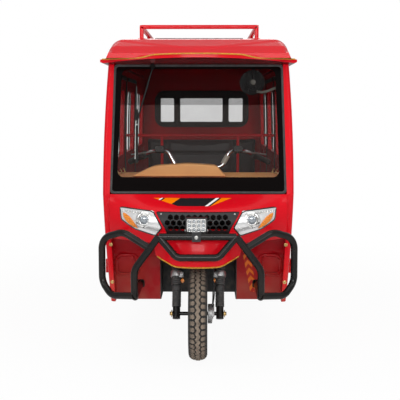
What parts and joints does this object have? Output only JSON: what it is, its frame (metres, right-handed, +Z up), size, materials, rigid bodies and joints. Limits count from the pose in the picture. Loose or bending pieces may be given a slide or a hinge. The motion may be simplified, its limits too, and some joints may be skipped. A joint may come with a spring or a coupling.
{
  "type": "enclosed electric passenger tricycle",
  "caption": "Enclosed electric passenger tricycle with one steered front wheel, hinged side doors, a driver's seat, a rear bench, a tubular front guard and a roof rack.",
  "frame": {"origin": "on the road under the middle of the vehicle's box", "axes": "+Z up, the front faces -Y, +X to the driver's left"},
  "size_m": [1.056, 2.85, 1.8],
  "materials": {
    "red_paint": "gloss",
    "black_paint": "satin",
    "chassis_paint": "satin",
    "clear_glass": "clear",
    "black_rubber": "matte",
    "tyre_rubber": "matte",
    "black_plastic": "matte",
    "lamp_plastic": "gloss",
    "tail_plastic": "gloss",
    "tan_plastic": "satin",
    "seat_leather": "satin",
    "steel": "satin",
    "chrome": "polished",
    "aluminium": "satin",
    "battery_case": "matte"
  },
  "bodies": {
    "body": {"side_wall_left": "red_paint", "corner_panel_left": "red_paint", "side_wall_right": "red_paint", "corner_panel_right": "red_paint", "quarter_glass": "clear_glass", "chassis_frame": "chassis_paint", "floor_pan": "chassis_paint", "wheel_housings": "chassis_paint", "wheel_well": "chassis_paint", "leg_shields": "red_paint", "front_cowl": "red_paint", "headlamps": "lamp_plastic", "grille": "black_plastic", "windshield_seal": "black_rubber", "windshield_glass": "clear_glass", "roof": "red_paint", "roof_rack": "red_paint", "rear_wall": "red_paint", "rear_window_frame": "black_rubber", "rear_window_glass": "clear_glass", "tail_lamps": "tail_plastic", "rear_bumper": "black_paint", "bumper_guard": "black_paint", "work_lamp": "aluminium", "dash": "tan_plastic", "partition_rail": "red_paint", "driver_seat_box": "chassis_paint", "battery_block": "battery_case", "driver_seat": "seat_leather", "driver_backrest": "seat_leather", "bench_box": "chassis_paint", "bench_seat": "seat_leather", "bench_backrest": "seat_leather", "rear_axle": "chassis_paint", "leaf_springs": "chassis_paint", "wiper": "black_paint", "cab_fan": "black_plastic"},
    "steering": {"fork": "black_paint", "brake_plate": "aluminium", "handlebar": "chrome", "handlebar_grips": "black_rubber"},
    "front_wheel": {"front_tyre": "tyre_rubber", "front_rim": "steel"},
    "rear_wheel_left": {"rear_left_tyre": "tyre_rubber", "rear_left_rim": "steel"},
    "rear_wheel_right": {"rear_right_tyre": "tyre_rubber", "rear_right_rim": "steel"},
    "front_door_left_leaf": {"front_door_left": "red_paint", "front_door_glass_left": "clear_glass"},
    "front_door_right_leaf": {"front_door_right": "red_paint", "front_door_glass_right": "clear_glass"},
    "rear_door_left_leaf": {"rear_door_left": "red_paint", "rear_door_glass_left": "clear_glass"},
    "rear_door_right_leaf": {"rear_door_right": "red_paint", "rear_door_glass_right": "clear_glass"}
  },
  "joints": [
    {"name": "steering", "type": "hinge", "parent": "body", "child": "steering", "pos_m": [0, -0.9849, 0.59822], "axis": [0, 0.4067, 0.9135], "range_deg": [-35, 35]},
    {"name": "front_wheel_spin", "type": "hinge", "parent": "steering", "child": "front_wheel", "pos_m": [0, -1.175, 0.245], "axis": [1, 0, 0], "continuous": true},
    {"name": "rear_wheel_left_spin", "type": "hinge", "parent": "body", "child": "rear_wheel_left", "pos_m": [0.415, 0.825, 0.245], "axis": [1, 0, 0], "continuous": true},
    {"name": "rear_wheel_right_spin", "type": "hinge", "parent": "body", "child": "rear_wheel_right", "pos_m": [-0.415, 0.825, 0.245], "axis": [1, 0, 0], "continuous": true},
    {"name": "front_door_left_hinge", "type": "hinge", "parent": "body", "child": "front_door_left_leaf", "pos_m": [0.51, -0.94175, 0.5925], "axis": [0, 0, -1], "range_deg": [0, 70]},
    {"name": "front_door_right_hinge", "type": "hinge", "parent": "body", "child": "front_door_right_leaf", "pos_m": [-0.51, -0.94175, 0.5925], "axis": [0, 0, 1], "range_deg": [0, 70]},
    {"name": "rear_door_left_hinge", "type": "hinge", "parent": "body", "child": "rear_door_left_leaf", "pos_m": [0.51, -0.13575, 0.5925], "axis": [0, 0, -1], "range_deg": [0, 70]},
    {"name": "rear_door_right_hinge", "type": "hinge", "parent": "body", "child": "rear_door_right_leaf", "pos_m": [-0.51, -0.13575, 0.5925], "axis": [0, 0, 1], "range_deg": [0, 70]}
  ]
}
